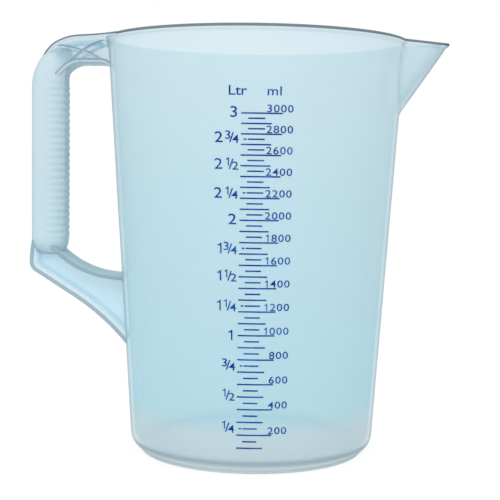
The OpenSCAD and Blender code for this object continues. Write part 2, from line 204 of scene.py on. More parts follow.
def arc_corner(a: Vector, c: Vector, b: Vector, radius: float, step: float) -> list[Vector]:
    """Round one corner of a path.

    Args:
        a: The vertex before the corner.
        c: The corner.
        b: The vertex after it.
        radius: The arc's radius.
        step: Degrees from one point to the next.

    Returns:
        The points of the arc, in order.
    """
    u, v = (c - a).normalized(), (b - c).normalized()
    cross = u.x * v.y - u.y * v.x
    turn = math.atan2(cross, u.dot(v))
    side = 1 if turn > 0 else -1
    left = Vector((-u.y, u.x))
    start = c - u * radius * math.tan(abs(turn) / 2)
    middle = start + left * radius * side
    count = max(2, math.ceil(abs(math.degrees(turn)) / step))
    swings = [turn * i / count - side * math.pi / 2 for i in range(count + 1)]
    return [middle + radius * (u * math.cos(s) + left * math.sin(s)) for s in swings]


def rounded(path: Sequence[Point], radii: Sequence[float], step: float = 4) -> list[Vector]:
    """Round the inner corners of a path.

    Args:
        path: The vertices.
        radii: One radius for each inner corner.
        step: Degrees from one point of an arc to the next.

    Returns:
        The points of the rounded path.
    """
    corners = [Vector(p) for p in path]
    points = [corners[0]]
    for i, radius in enumerate(radii, start=1):
        points += arc_corner(corners[i - 1], corners[i], corners[i + 1], radius, step)
    return points + [corners[-1]]


def even(points: Sequence[Vector], gap: float) -> list[Vector]:
    """Space points evenly along a path.

    Args:
        points: The path.
        gap: The largest distance from point to point.

    Returns:
        Points on the path, ends included.
    """
    runs = [0.0]
    for here, there in zip(points, points[1:]):
        runs.append(runs[-1] + (there - here).length)
    count = max(2, math.ceil(runs[-1] / gap))
    spots = np.linspace(0, runs[-1], count + 1)
    xs = np.interp(spots, runs, [p[0] for p in points])
    zs = np.interp(spots, runs, [p[1] for p in points])
    return [Vector((float(x), float(z))) for x, z in zip(xs, zs)]


def offset(points: Sequence[Vector], distance: float) -> list[Vector]:
    """Move a smooth path sideways, to the left of its direction.

    Args:
        points: The path.
        distance: How far it moves.

    Returns:
        The moved points.
    """
    moved = []
    for i, p in enumerate(points):
        along = points[min(i + 1, len(points) - 1)] - points[max(i - 1, 0)]
        along.normalize()
        moved.append(p + Vector((-along.y, along.x)) * distance)
    return moved


def in_space(p: Vector, y: float = 0.0) -> Vector:
    """Turn a point of the handle's plane, in millimetres, into a place in metres."""
    return Vector((p[0] * MM, y * MM, p[1] * MM))


# Bands and webs of the handle


SIDE_FROM_Y = 8.0
SIDE_TILT = 0.3
FAR_SHARE = 0.62


def ribbon(
    name: str,
    path: Sequence[Vector],
    half_width: Callable[[float], float],
    thickness: float,
    side: float,
    edge: float,
    sides: Finish = Finish.EDGE,
    inner: Finish = Finish.SKIN,
    outer: Finish = Finish.SKIN,
) -> bpy.types.Object:
    """Make a band: an edge extruded along a path, thickened to one side, its edges rounded.

    Args:
        name: The new object's name.
        path: Points of the band's visible face in the handle's plane.
        half_width: Half of the band's width at a share of the way along.
        thickness: The band's thickness.
        side: 1 to thicken to the left of the path, -1 to the right.
        edge: Radius of the rounded edges.
        sides: The finish of its narrow sides, where they lie far from the middle plane.
        inner: The finish of the face on the side that it is thickened to.
        outer: The finish of the face that the path gives.

    Returns:
        The finished band.
    """
    last = len(path) - 1
    before = half_width(0.0)
    obj = begin_line(name, [in_space(path[0], -before), in_space(path[0], before)])
    for i in range(1, last + 1):
        move = in_space(path[i]) - in_space(path[i - 1])
        bpy.ops.mesh.extrude_edges_move(TRANSFORM_OT_translate={"value": move})
        width = half_width(i / last)
        if abs(width - before) > TINY:
            bpy.ops.transform.resize(value=(1, width / before, 1), center_override=(0, 0, 0))
        before = width
    bpy.ops.mesh.select_all(action="SELECT")
    bpy.ops.object.mode_set(mode="OBJECT")
    along = path[1] - path[0]
    wanted = Vector((-along.y, 0, along.x)) * side
    sign = 1.0 if obj.data.polygons[0].normal.dot(wanted) > 0 else -1.0
    apply(obj, "SOLIDIFY", thickness=thickness * MM, offset=sign, use_even_offset=True)
    apply(obj, "BEVEL", width=edge * MM, segments=2, limit_method="ANGLE", angle_limit=1.0)
    pick(obj)
    bpy.ops.object.mode_set(mode="EDIT")
    leave_edit(obj)

    def far(spot: Vector) -> bool:
        """Tell whether a place lies nearer to the band's other face than to the path."""
        here = Vector((spot.x / MM, spot.z / MM))
        return min((here - p).length for p in path) > thickness * FAR_SHARE

    paint(obj, outer, lambda spot, way: not far(spot))
    paint(obj, inner, lambda spot, way: far(spot))
    paint(
        obj, sides, lambda spot, way: abs(spot.y) > SIDE_FROM_Y * MM and abs(way.y) > SIDE_TILT
    )
    return obj


def slab(
    name: str, outline: Sequence[Vector], width: float, finish: Finish
) -> bpy.types.Object:
    """Fill an outline in the handle's plane and extrude it across.

    Args:
        name: The new object's name.
        outline: The corners, in order.
        width: The slab's width across the handle.
        finish: The finish of all its faces.

    Returns:
        The finished slab.
    """
    obj = begin_line(name, [in_space(p, -width / 2) for p in outline])
    bpy.ops.mesh.edge_face_add()
    bpy.ops.mesh.extrude_region_move(TRANSFORM_OT_translate={"value": (0, width * MM, 0)})
    leave_edit(obj)
    paint(obj, finish, lambda spot, way: True)
    return obj


# Finishes


def add_node(
    tree: bpy.types.NodeTree,
    kind: str,
    values: dict[str | int, object] | None = None,
    **settings: object,
) -> bpy.types.Node:
    """Add a shader node, with numbers, colours or sockets for its inputs.

    Args:
        tree: The node tree.
        kind: The node's type, without the words that all of them begin with.
        values: What goes into each input, by the input's name or place.
        settings: The node's own properties, which are set first.

    Returns:
        The new node.
    """
    node = tree.nodes.new("ShaderNode" + kind)
    for key, value in settings.items():
        setattr(node, key, value)
    for key, value in (values or {}).items():
        if isinstance(value, bpy.types.NodeSocket):
            tree.links.new(value, node.inputs[key])
        else:
            node.inputs[key].default_value = value
    return node


def blend(
    tree: bpy.types.NodeTree, share: object, first: object, second: object
) -> bpy.types.NodeSocket:
    """Add a mix of two colours, which is all second at a share of 1."""
    values = {"Factor": share, "A": first, "B": second}
    return add_node(tree, "Mix", values, data_type="RGBA").outputs["Result"]


def spread(
    tree: bpy.types.NodeTree,
    value: bpy.types.NodeSocket,
    source: Point,
    target: Sequence[object] = (0.0, 1.0),
    kind: str = "LINEAR",
) -> bpy.types.NodeSocket:
    """Add a node that turns one range of values into another.

    Args:
        tree: The node tree.
        value: The value that is turned.
        source: The two ends of its range.
        target: Numbers or sockets for the ends of the new range.
        kind: LINEAR or SMOOTHSTEP.

    Returns:
        The new value.
    """
    names = ("From Min", "From Max", "To Min", "To Max")
    values = {"Value": value, **dict(zip(names, (*source, *target)))}
    return add_node(tree, "MapRange", values, interpolation_type=kind).outputs["Result"]


def start_material(name: str) -> bpy.types.Material:
    """Add a material that has no nodes yet."""
    material = bpy.data.materials.new(name)
    material.use_nodes = True
    material.node_tree.nodes.clear()
    return material


@dataclass(frozen=True)
class Grain:
    """Effect that all the plastics share: cloudy colour by height, satin patches, a fine skin."""

    cloud_scale: float = 14.0
    patch_scale: float = 45.0
    skin_scale: float = 900.0
    deep_z: Point = (0.25, 0.03)
    deep_share: Point = (-0.25, 0.75)
    low_z: Point = (0.034, 0.017)
    patch_range: Point = (0.3, 0.7)

    def build(self) -> bpy.types.NodeTree:
        """Build the node group.

        Returns:
            A group with inputs for three colours by height and two roughnesses.
        """
        tree = bpy.data.node_groups.new("moulded_grain", "ShaderNodeTree")
        for way, kind, names in (
            ("INPUT", "NodeSocketColor", ("Light", "Deep", "Low")),
            ("INPUT", "NodeSocketFloat", ("Gloss", "Satin")),
            ("OUTPUT", "NodeSocketColor", ("Color",)),
            ("OUTPUT", "NodeSocketFloat", ("Roughness", "Height")),
        ):
            for name in names:
                tree.interface.new_socket(name=name, in_out=way, socket_type=kind)
        given = tree.nodes.new("NodeGroupInput").outputs
        made = tree.nodes.new("NodeGroupOutput").inputs
        place = add_node(tree, "TexCoord").outputs["Object"]

        def noise(scale: float, detail: float) -> bpy.types.NodeSocket:
            """Add a noise texture that reads object coordinates."""
            values = {"Vector": place, "Scale": scale, "Detail": detail}
            return add_node(tree, "TexNoise", values).outputs["Fac"]

        z = add_node(tree, "SeparateXYZ", {"Vector": place}).outputs["Z"]
        values = {0: noise(self.cloud_scale, 2.0), 1: 0.5}
        values[2] = spread(tree, z, self.deep_z, self.deep_share)
        depth = add_node(tree, "Math", values, operation="MULTIPLY_ADD", use_clamp=True)
        colour = blend(tree, depth.outputs["Value"], given["Light"], given["Deep"])
        lowest = spread(tree, z, self.low_z, kind="SMOOTHSTEP")
        patches = noise(self.patch_scale, 3.0)
        rough = spread(tree, patches, self.patch_range, (given["Gloss"], given["Satin"]))
        tree.links.new(blend(tree, lowest, colour, given["Low"]), made["Color"])
        tree.links.new(rough, made["Roughness"])
        tree.links.new(noise(self.skin_scale, 2.0), made["Height"])
        return tree


@dataclass(frozen=True)
class Plastic:
    """Translucent moulded polypropylene.

    Where light enters the plastic, a part of it goes straight through and the rest is
    scattered. The more a surface turns away from the eye, the longer is the way through the
    wall behind it, so the less goes through and the darker it looks. The surface where the
    light leaves again adds nothing. A float attribute on the mesh's points holds painted
    shade, which darkens the colour towards the edge tone and makes the plastic less clear.
    """

    name: str
    light: Colour = (0.56, 0.72, 0.785)
    deep: Colour = (0.48, 0.75, 0.845)
    low: Colour = (0.60, 0.73, 0.775)
    edge: Colour = (0.30, 0.42, 0.48)
    clear_share: float = 0.27
    way_power: float = 0.2
    edge_from: float = 0.74
    edge_to: float = 1.0
    edge_gain: float = 1.4
    thick_gain: float = 2.0
    grazing: float = 0.03
    gloss: float = 0.26
    satin: float = 0.36
    bump: float = 0.02
    bump_depth: float = 0.0002
    ior: float = 1.3
    specular: float = 0.06

    def build(self, grain: bpy.types.NodeTree) -> bpy.types.Material:
        """Build the material.

        Args:
            grain: The node group that all the plastics share.

        Returns:
            The finished material.
        """
        material = start_material(self.name)
        tree = material.node_tree
        values = {"Light": (*self.light, 1), "Deep": (*self.deep, 1), "Low": (*self.low, 1)}
        values |= {"Gloss": self.gloss, "Satin": self.satin}
        skin = add_node(tree, "Group", values, node_tree=grain)

        def reckon(kind: str, *values: object) -> bpy.types.NodeSocket:
            """Add a Math node, with numbers or sockets as its inputs."""
            return add_node(tree, "Math", dict(enumerate(values)), operation=kind).outputs[0]

        turned = add_node(tree, "LayerWeight", {"Blend": 0.5}).outputs["Facing"]
        share = spread(tree, turned, (self.edge_from, self.edge_to), kind="SMOOTHSTEP")
        # painted shade: a float attribute on the points, set in corners, creases and grooves,
        # darkens the colour and makes the plastic less clear
        thick = add_node(tree, "Attribute", attribute_name="thick").outputs["Fac"]
        straight = reckon("MAXIMUM", reckon("SUBTRACT", 1.0, turned), self.grazing)
        way = reckon("POWER", straight, -self.way_power)
        more = reckon("MULTIPLY_ADD", share, self.edge_gain, 1.0)
        more = reckon("MULTIPLY_ADD", thick, self.thick_gain, more)
        through = reckon("POWER", self.clear_share, reckon("MULTIPLY", way, more))
        back = add_node(tree, "NewGeometry").outputs["Backfacing"]
        entering = reckon("SUBTRACT", 1.0, back)
        cover = reckon("MULTIPLY", reckon("SUBTRACT", 1.0, through), entering)
        darker = reckon("MAXIMUM", share, thick)
        values = {"Height": skin.outputs["Height"], "Strength": self.bump}
        bump = add_node(tree, "Bump", {**values, "Distance": self.bump_depth})
        body = add_node(tree, "BsdfPrincipled", {
            "Base Color": blend(tree, darker, skin.outputs["Color"], (*self.edge, 1)),
            "Roughness": skin.outputs["Roughness"],
            "Normal": bump.outputs["Normal"],
            "IOR": self.ior,
            "Specular IOR Level": self.specular,
        })
        clear = add_node(tree, "BsdfTransparent")
        values = {"Fac": cover, 1: clear.outputs["BSDF"], 2: body.outputs["BSDF"]}
        mix = add_node(tree, "MixShader", values)
        add_node(tree, "OutputMaterial", {"Surface": mix.outputs["Shader"]})
        return material


# The plastics of the vessel, its rim, its floor, the bar, and the bands and webs of the handle

PLASTICS = (
    Plastic("vessel_plastic"),
    # painted reflection: a thin dark line where the outside of the rim and the top band's edge
    # would mirror darker surroundings
    Plastic(
        "rim_painted_reflection_plastic", light=(0.10, 0.155, 0.20), deep=(0.09, 0.145, 0.19),
        edge=(0.09, 0.14, 0.18), clear_share=0.10,
    ),
    Plastic(
        "floor_plastic", light=(0.80, 0.84, 0.86), deep=(0.80, 0.84, 0.86), clear_share=0.15
    ),
    Plastic(
        "handle_plastic", light=(0.51, 0.66, 0.735), deep=(0.42, 0.635, 0.72),
        edge=(0.36, 0.52, 0.60), clear_share=0.18, edge_from=0.5,
    ),
    Plastic(
        "band_edge_plastic", light=(0.25, 0.38, 0.46), deep=(0.29, 0.42, 0.48),
        edge=(0.27, 0.40, 0.47), clear_share=0.12,
    ),
    # painted light: lighter than the other plastic, to lift the shade that falls on the strut's
    # web between the bands
    Plastic(
        "web_painted_light_plastic", light=(0.60, 0.85, 0.96), deep=(0.61, 0.86, 0.97), clear_share=0.20
    ),
    Plastic(
        "band_face_plastic", light=(0.45, 0.76, 0.88), deep=(0.45, 0.79, 0.91),
        edge=(0.45, 0.78, 0.90), clear_share=0.5, way_power=0.0,
    ),
    # painted light: lighter than the other plastic, to lift the shade that falls on the bridge's
    # web between bands and braces
    Plastic(
        "bay_painted_light_plastic", light=(0.58, 0.79, 0.88), deep=(0.58, 0.79, 0.88), clear_share=0.42
    ),
)


@dataclass(frozen=True)
class Ink:
    """Blue printing ink, with slightly uneven strength."""

    strong: Colour = (0.0, 0.03, 0.27)
    weak: Colour = (0.01, 0.15, 0.45)
    strong_to: float = 0.42
    weak_from: float = 0.72
    roughness: float = 0.45
    specular: float = 0.05
    patch_scale: float = 130.0

    def build(self) -> bpy.types.Material:
        """Build the material.

        Returns:
            The finished material.
        """
        material = start_material("scale_ink")
        tree = material.node_tree
        place = add_node(tree, "TexCoord").outputs["Object"]
        values = {"Vector": place, "Scale": self.patch_scale, "Detail": 3.0}
        noise = add_node(tree, "TexNoise", values)
        ramp = add_node(tree, "ValToRGB", {"Fac": noise.outputs["Fac"]})
        stops = ((self.strong_to, self.strong), (self.weak_from, self.weak))
        for element, (position, colour) in zip(ramp.color_ramp.elements, stops):
            element.position = position
            element.color = (*colour, 1)
        values = {"Roughness": self.roughness, "Specular IOR Level": self.specular}
        values["Base Color"] = ramp.outputs["Color"]
        body = add_node(tree, "BsdfPrincipled", values)
        add_node(tree, "OutputMaterial", {"Surface": body.outputs["BSDF"]})
        return material


# The vessel


@dataclass
class Vessel:
    """Round tapered wall, domed floor, foot, rim bead and pinched spout, in one closed skin."""

    height: float = 233.0
    rim_r: float = 83.75
    base_r: float = 68.75
    wall: float = 2.4
    corner_r: float = 10.0
    corner_lift: float = 0.6
    inside_corner_r: float = 6.0
    recess_h: float = 2.4
    floor_t: float = 2.8
    floor_dome: float = 6.9
    foot_r: float = 63.4
    foot_w: float = 2.6
    foot_edge: float = 0.5
    lip_out: float = 1.19
    lip_h: float = 3.2
    lip_swell: tuple[Point, ...] = ((0.35, 0.25), (0.8, 0.7), (1.0, 1.1))
    lip_round: float = 0.96
    inner_round: float = 0.7
    fine_z: float = 184.0
    fine_gap: float = 1.2
    coarse_gap: float = 12.0
    spout_reach: float = 109.0
    spout_drop: float = 40.0
    spout_w: float = 44.0
    spout_half_angle: float = 22.5
    tip_r: float = 1.6
    least_tip_r: float = 0.15
    spout_blend: float = 1.5
    line_h: float = 1.6
    foot_line_z: float = 1.5
    floor_h: float = 8.5
    floor_gap: float = 2.0
    # painted shade: a dark band round the bottom corner, darkening in the spout's creases and
    # along its keel
    ring_z: float = 6.5
    ring_h: float = 2.0
    ring_dark: tuple[float, float] = (0.85, 0.2)
    outside_t: float = 2.0
    crease_w: float = 0.9
    crease_dark: float = 0.45
    keel_w: float = 2.3
    keel_dark: float = 0.85
    keel_r: tuple[float, float] = (3.0, 0.85)
    keel_rise: tuple[float, float] = (0.5, 2.0)
    sectors: tuple[tuple[float, int], ...] = ((17, 34), (10, 40), (17, 34), (316, 150))
    nodes: tuple[str, ...] = (
        "vessel_wall",
        "vessel_floor",
        "foot_ring",
        "rim_lip",
        "pouring_spout",
        "spout_lip",
    )
    taper: float = field(init=False)

    def __post_init__(self) -> None:
        """Work out the wall's slope."""
        self.taper = math.atan2(self.rim_r - self.base_r, self.height)

    def wall_r(self, z: float | np.ndarray) -> float | np.ndarray:
        """Outside radius of the wall at one height or at many."""
        return self.base_r + (self.rim_r - self.base_r) * z / self.height

    def rows(self, low: float, high: float) -> list[float]:
        """Heights along the wall, close together where the spout pulls it out.

        Args:
            low: The lowest height.
            high: The highest height.

        Returns:
            The heights from low to high, both included.
        """
        coarse = max(1, round((self.fine_z - low) / self.coarse_gap))
        fine = max(1, round((high - self.fine_z) / self.fine_gap))
        lower = [low + (self.fine_z - low) * i / coarse for i in range(coarse)]
        upper = [self.fine_z + (high - self.fine_z) * i / fine for i in range(fine + 1)]
        return lower + upper

    def arc(
        self, centre: Point, radius: float, start: float, end: float, count: int
    ) -> list[Point]:
        """Points of an arc in the profile.

        Args:
            centre: The arc's centre.
            radius: Its radius.
            start: The first point's angle in degrees, from the outward direction upwards.
            end: The last point's angle.
            count: The number of steps.

        Returns:
            The points from start to end.
        """
        angles = np.radians(np.linspace(start, end, count + 1))
        return [
            (centre[0] + radius * math.cos(a), centre[1] + radius * math.sin(a)) for a in angles
        ]

    def profile(self) -> list[Point]:
        """Radius and height of the whole skin, from under the floor's middle to its top.

        Returns:
            The points in order, the first and last on the axis.
        """
        lean = math.degrees(self.taper)
        floor_z = self.recess_h + self.floor_t
        cove_z = floor_z + self.inside_corner_r
        cove_r = (
            self.wall_r(cove_z) - self.wall - self.inside_corner_r / math.cos(self.taper)
        )
        dome_r = (cove_r**2 + self.floor_dome**2) / (2 * self.floor_dome)
        dome_z = floor_z + self.floor_dome - dome_r
        foot_in = self.foot_r - self.foot_w
        corner_z = self.corner_lift + self.corner_r
        heel_r = self.wall_r(corner_z) - self.corner_r / math.cos(self.taper)

        def dome(radius: float, reach: Sequence[float]) -> list[Point]:
            """Points on the dome's sphere at the given radii from the axis."""
            return [(r, dome_z + math.sqrt(radius**2 - r**2)) for r in reach]

        points = dome(dome_r - self.floor_t, list(np.linspace(0, foot_in, 15)))
        points[-1] = (foot_in, self.recess_h)
        edge = self.foot_edge
        points += self.arc((foot_in + edge, edge), edge, 180, 270, 4)
        points += self.arc((self.foot_r - edge, edge), edge, 270, 360, 4)
        meet = -math.degrees(math.acos((self.foot_r - heel_r) / self.corner_r))
        points += self.arc((heel_r, corner_z), self.corner_r, meet, -lean, 14)
        top = self.height
        low = top - self.lip_h
        outer = self.rows(corner_z + self.corner_r * 0.5, low)
        points += [(self.wall_r(z), z) for z in outer]
        out = self.lip_out
        points += [(self.wall_r(low) + out * x, low + out * up) for x, up in self.lip_swell]
        line_z = top - self.line_h
        points.append((self.wall_r(line_z) + out, line_z))
        crest = self.wall_r(top) + out - self.lip_round
        points += self.arc((crest, top - self.lip_round), self.lip_round, 0, 90, 6)
        brim = self.wall_r(top) - self.wall + self.inner_round
        points += [(crest + (brim - crest) * s, top) for s in (0.33, 0.67)]
        points += self.arc((brim, top - self.inner_round), self.inner_round, 90, 180, 5)
        inner = self.rows(cove_z + self.inside_corner_r * 0.5, top - 2 * self.inner_round)
        points += [(self.wall_r(z) - self.wall, z) for z in reversed(inner)]
        points += self.arc((cove_r, cove_z), self.inside_corner_r, -lean, -90, 12)
        points += dome(dome_r, list(np.linspace(cove_r, 0, 15)[1:]))
        return points

    def build(self) -> bpy.types.Object:
        """Draw the profile, spin it round in sectors, and pull out the spout.

        Returns:
            The vessel's closed mesh.
        """
        start = -math.radians(sum(s[0] for s in self.sectors[:3]) / 2)
        turn = Vector((math.cos(start), math.sin(start)))
        places = [Vector((r * turn.x, r * turn.y, z)) * MM for r, z in self.profile()]
        obj = begin_line("jug_vessel", places)
        for degrees, steps in self.sectors:
            bpy.ops.mesh.spin(
                steps=steps, angle=math.radians(degrees), center=(0, 0, 0), axis=(0, 0, 1)
            )
        leave_edit(obj)
        self.mark_faces(obj)
        self.pull_spout(obj)
        shade(obj, 40)
        return obj

    def mark_faces(self, obj: bpy.types.Object) -> None:
        """Give the rim's painted dark reflection, the foot's outside, partly painted contact
        shadow, and the floor's top their own finishes.

        Args:
            obj: The vessel's mesh, before the spout is pulled out.
        """
        rim_z = (self.height - self.line_h - 0.01) * MM
        bead_r = (self.wall_r(self.height) + self.lip_out * 0.3) * MM
        foot_r = (self.foot_r - self.foot_w / 2) * MM
        floor_z = self.recess_h + self.floor_t
        floor_r = (self.wall_r(0) - self.wall - self.floor_gap) * MM

        def out(spot: Vector) -> float:
            """Distance of a place from the axis."""
            return math.hypot(spot.x, spot.y)

        def on_floor(spot: Vector, way: Vector) -> bool:
            """Tell whether a face is part of the floor's top."""
            level = floor_z - 0.1 < spot.z / MM < floor_z + self.floor_h
            return level and way.z > 0.9 and out(spot) < floor_r

        foot_z = self.foot_line_z * MM
        # painted reflection: the outside of the rim bead gets a dark line
        paint(obj, Finish.EDGE, lambda spot, way: spot.z > rim_z and out(spot) > bead_r)
        # partly painted shade: the foot's outside gets the dark band-edge tone, for the foot's
        # edge and for the contact shadow along the bottom
        paint(obj, Finish.WEB, lambda spot, way: spot.z < foot_z and out(spot) > foot_r)
        paint(obj, Finish.INSIDE, on_floor)

    def cone_reach(self, way: np.ndarray, z: np.ndarray, depth: np.ndarray) -> np.ndarray:
        """Distances from the vessel's axis to the spout's leaning cone.

        Args:
            way: Level directions away from the axis, of unit length.
            z: Their heights.
            depth: How deep under the outside the wanted surface lies.

        Returns:
            The distances, far below zero where a direction misses the cone.
        """
        half = self.spout_w / 2
        mouth_x = math.sqrt(self.rim_r**2 - half**2)
        flank = math.atan2(half, self.spout_reach - mouth_x)
        foot_x = self.wall_r(self.height - self.spout_drop)
        keel = math.atan2(self.spout_drop, self.spout_reach - foot_x)
        lean = math.atan2(math.cos(flank) - math.cos(keel), math.sin(keel))
        open_angle = keel - lean
        sin_a, cos_a = math.sin(open_angle), math.cos(open_angle)
        axis = np.array([-math.cos(lean), 0, -math.sin(lean)])
        ahead = self.tip_r * (1 / sin_a - 1)
        apex = np.array([self.spout_reach, 0, self.height]) - axis * ahead
        nose = ahead * sin_a / cos_a - (1 / cos_a - sin_a / cos_a) * depth
        nose = np.maximum(nose, self.least_tip_r)
        base = np.stack([np.zeros(len(z)), np.zeros(len(z)), z], 1) - apex
        along_way, along_base = way @ axis, base @ axis
        # A point at distance t from the axis of the vessel is on the cone where
        # (q2 + nose2) cos2 = (s sin - depth)2, with s along and q from the cone's own axis
        a = cos_a**2 * (1 - along_way**2) - sin_a**2 * along_way**2
        side = np.einsum("ij,ij->i", way, base)
        b = 2 * cos_a**2 * (side - along_way * along_base)
        b -= 2 * sin_a * along_way * (sin_a * along_base - depth)
        c = cos_a**2 * (np.einsum("ij,ij->i", base, base) - along_base**2 + nose**2)
        c -= (sin_a * along_base - depth) ** 2
        square = b * b - 4 * a * c
        root = np.sqrt(np.maximum(square, 0))
        best = np.full(len(z), -1e3)
        for sign in (1, -1):
            t = (-b + sign * root) / (2 * a)
            inside = (square > 0) & (sin_a * (along_base + t * along_way) - depth > 0)
            best = np.where(inside & (t > best), t, best)
        return best

    def pull_spout(self, obj: bpy.types.Object) -> None:
        """Move the wall out to a leaning cone, blend it in, and paint shade on it.

        No edit tool gives the blend, so the vertices are moved along their radius here. A float
        attribute on the points holds painted shade at the bottom corner, in the spout's creases
        and along its keel.

        Args:
            obj: The vessel's mesh.
        """
        mesh = obj.data
        co = np.empty(len(mesh.vertices) * 3)
        mesh.vertices.foreach_get("co", co)
        co = co.reshape(-1, 3) / MM
        radius = np.hypot(co[:, 0], co[:, 1])
        near = (co[:, 2] > self.fine_z) & (co[:, 0] > self.base_r * 0.5)
        near &= np.abs(np.degrees(np.arctan2(co[:, 1], co[:, 0]))) < self.spout_half_angle
        r, z = radius[near], co[near, 2]
        way = np.stack([co[near, 0] / r, co[near, 1] / r, np.zeros(len(r))], 1)
        best = self.cone_reach(way, z, self.wall_r(z) - r)
        soft = self.spout_blend
        h = np.maximum(soft - np.abs(best - r), 0) / soft
        new = np.maximum(best, r) + h * h * soft / 4
        new = np.where(best < 0, r, new)
        co[near, :2] = way[:, :2] * new[:, None]
        mesh.vertices.foreach_set("co", (co * MM).ravel())
        # painted shade: darker round the bottom corner, most on the outside, in the creases where
        # the spout meets the wall, and along the keel under the spout
        outside = radius > self.wall_r(co[:, 2]) - self.outside_t
        share = np.where(outside, *self.ring_dark)
        thick = share * np.exp(-(((co[:, 2] - self.ring_z) / self.ring_h) ** 2))
        crease = np.exp(-(((best - r) / self.crease_w) ** 2)) * (best > 0)
        round_r = self.keel_r[0] + self.keel_r[1] * (self.height - z)
        keel = np.exp(-((co[near, 1] ** 2 / (2 * self.keel_w * round_r)) ** 2))
        start, run = self.keel_rise
        keel *= self.keel_dark * np.clip((best - r - start) / run, 0, 1)
        thick[near] = np.maximum(self.crease_dark * crease, keel)
        mesh.attributes.new("thick", "FLOAT", "POINT").data.foreach_set("value", thick)
        mesh.update()


# The handle


@dataclass
class Handle:
    """Open braced handle: a rounded bar for the hand, carried by a bridge and a strut."""

    vessel: Vessel
    reach: float = 126.2
    half_w: float = 14.0
    band_t: float = 2.2
    band_gap: float = 0.02
    band_lap: float = 0.1
    outer_step: float = 1.5
    inner_step: float = 1.2
    line_t: float = 0.95
    web_t: float = 2.0
    edge: float = 0.35
    shoulder_r: float = 28.0
    flare_r: float = 66.0
    flare_dip: float = 0.6
    bridge_h: float = 14.2
    bridge_r: float = 12.0
    bridge_slope: float = 44.0
    bridge_tail: Point = (-115.5, 206.4)
    tail_narrow: float = 1.6
    tail_from: float = 0.82
    wall_sink: float = 1.6
    wall_lean: float = 1.5
    heel_z: float = 103.2
    heel_r: float = 6.0
    heel_top: float = 4.0
    heel_sink: float = 0.6
    heel_sink_z: tuple[float, float] = (116.5, 123.5)
    heel_narrow_z: tuple[float, float] = (108.0, 123.5)
    lower_r: float = 126.0
    lower_bend: Point = (0.75, 0.62)
    toe_z: float = 61.8
    toe_slope: float = 47.5
    toe_sink: float = 8.0
    strut_top_z: float = 99.0
    strut_r: float = 49.4
    strut_sink: float = 5.0
    strut_slopes: tuple[float, float] = (6.0, 52.0)
    grip_depth: float = 19.0
    grip_edge_r: float = 8.0
    grip_low_z: float = 119.5
    grip_low_h: float = 9.3
    rib_low_z: float = 119.7
    rib_high_z: float = 207.4
    rib_pitch: float = 3.81
    rib_steps: int = 8
    rib_h: float = 0.4
    gap_corner_r: float = 9.0
    end_steps: int = 12
    end_half_w: float = 0.6
    end_draw: float = 3.0
    end_sink: float = 0.4
    ramp_from: float = 42.0
    ramp_to: float = 76.0
    ramp_steps: int = 48
    ramp_half_w: float = 0.7
    ramp_edge_r: float = 0.9
    ramp_sink: tuple[float, float] = (0.4, 0.35)
    corner_steps: int = 12
    nearly: float = 0.98
    dip: float = 0.5
    dip_swing: tuple[float, float] = (50.0, 24.0)
    narrow_swing: tuple[float, float] = (62.0, 26.0)
    web_x: tuple[float, float] = (-120.0, -80.0)
    web_z: tuple[float, float, float] = (214.0, 212.0, 114.0)
    brace_t: float = 1.15
    brace_half_w: float = 13.5
    brace_edge: float = 0.2
    brace_steps: int = 14
    falling: tuple[Point, ...] = (
        (-111.5, 227.9), (-104.0, 227.0), (-97.0, 225.1), (-87.0, 221.0), (-80.0, 215.0),
    )
    rising: tuple[Point, ...] = (
        (-106.5, 217.0), (-101.5, 221.5), (-97.0, 225.1), (-90.5, 229.0), (-80.0, 232.5),
    )
    sink: float = 0.15
    bar_x: float = -104.0
    # painted shade on the bar's lower end and in the grooves between its ribs
    end_dark: float = 0.1
    end_dark_z: tuple[float, float] = (121.0, 115.0)
    groove_dark: float = 0.2
    groove_x: tuple[float, float] = (-119.0, -114.0)
    nodes: tuple[str, ...] = (
        "bridge_top_band",
        "bridge_inner_band",
        "bridge_web",
        "bridge_braces",
        "hand_grip",
        "grip_shoulder",
        "finger_ribs",
        "strut_inner_band",
        "strut_outer_band",
        "strut_web",
    )

    def outer_path(self) -> list[Vector]:
        """Outer face of the handle, from the rim round to the toe.

        Returns:
            Points in the handle's plane.
        """
        top = self.vessel.height
        toe = Vector((-self.vessel.wall_r(self.toe_z), self.toe_z))
        bend = (
            -self.reach + (self.reach + toe.x) * self.lower_bend[0],
            self.heel_z + (self.toe_z - self.heel_z) * self.lower_bend[1],
        )
        lean = math.radians(-self.toe_slope)
        end = toe + Vector((math.cos(lean), math.sin(lean))) * self.toe_sink
        start = (-self.flare()[0] * self.flare_end(), top)
        path = [start, (-self.reach, top), (-self.reach, self.heel_z), bend, end]
        return rounded(path, [self.shoulder_r, self.heel_r, self.lower_r])

    def flare(self) -> Point:
        """Middle of the circle that runs the top band's edge out into the rim, from the axis."""
        y = self.half_w + self.flare_r
        bead = self.vessel.rim_r + self.vessel.lip_out - self.flare_dip
        return math.sqrt((bead + self.flare_r) ** 2 - y**2), y

    def flare_end(self) -> float:
        """Share of the flare's middle at which its circle touches the rim bead."""
        bead = self.vessel.rim_r + self.vessel.lip_out
        return bead / (bead + self.flare_r)

    def bridge_path(self) -> list[Vector]:
        """Lower face of the bridge, from inside the wall to inside the grip.

        Returns:
            Points in the handle's plane.
        """
        under = self.vessel.height - self.bridge_h
        fillet = self.bridge_h / 2
        wall_x = -self.vessel.wall_r(under - fillet) + self.wall_sink
        tail, slope = self.bridge_tail, math.radians(self.bridge_slope)
        corner = (tail[0] + (under - tail[1]) / math.tan(slope), under)
        start = (wall_x + self.wall_lean, under - 2 * fillet)
        return rounded([start, (wall_x, under), corner, tail], [fillet, self.bridge_r])

